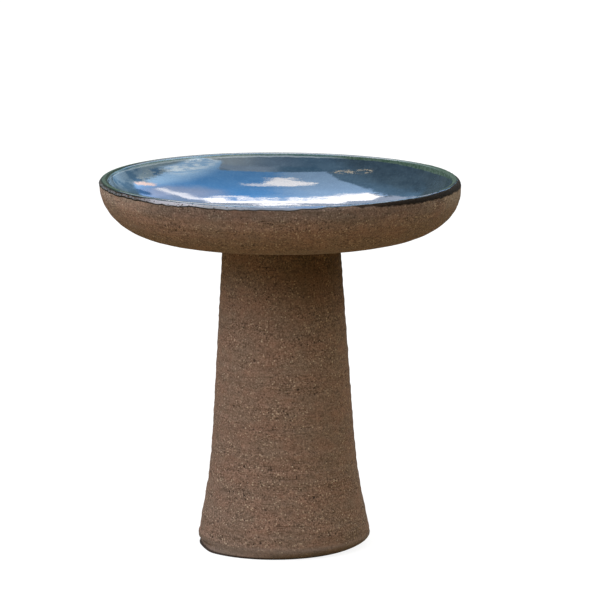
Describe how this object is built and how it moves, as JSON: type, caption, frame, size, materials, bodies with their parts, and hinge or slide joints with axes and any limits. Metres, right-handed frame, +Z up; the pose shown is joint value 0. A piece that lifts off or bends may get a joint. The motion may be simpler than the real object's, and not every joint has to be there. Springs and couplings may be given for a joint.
{
  "type": "bird bath",
  "caption": "Low garden bird bath: a wide shallow stoneware basin, glazed blue inside, lifts off a hollow tapered pedestal with a flared foot.",
  "frame": {"origin": "on the ground at the centre of the pedestal's foot, the bottom centre of the bounding box", "axes": "+Z up along the axis that the basin and the pedestal are turned about; +X right and +Y back are any two level directions"},
  "size_m": [0.56, 0.56, 0.577],
  "materials": {
    "stoneware": "matte",
    "blue_glaze": "gloss",
    "pad_rubber": "matte"
  },
  "bodies": {
    "pedestal": {"pedestal": "stoneware", "basin_pad_1": "pad_rubber", "basin_pad_2": "pad_rubber", "basin_pad_3": "pad_rubber"},
    "basin": {"basin": "stoneware", "glaze_lining": "blue_glaze"}
  },
  "joints": [
    {"name": "basin_lift", "type": "slide", "parent": "pedestal", "child": "basin", "axis": [0, 0, 1], "range_m": [0, 0.1]}
  ]
}
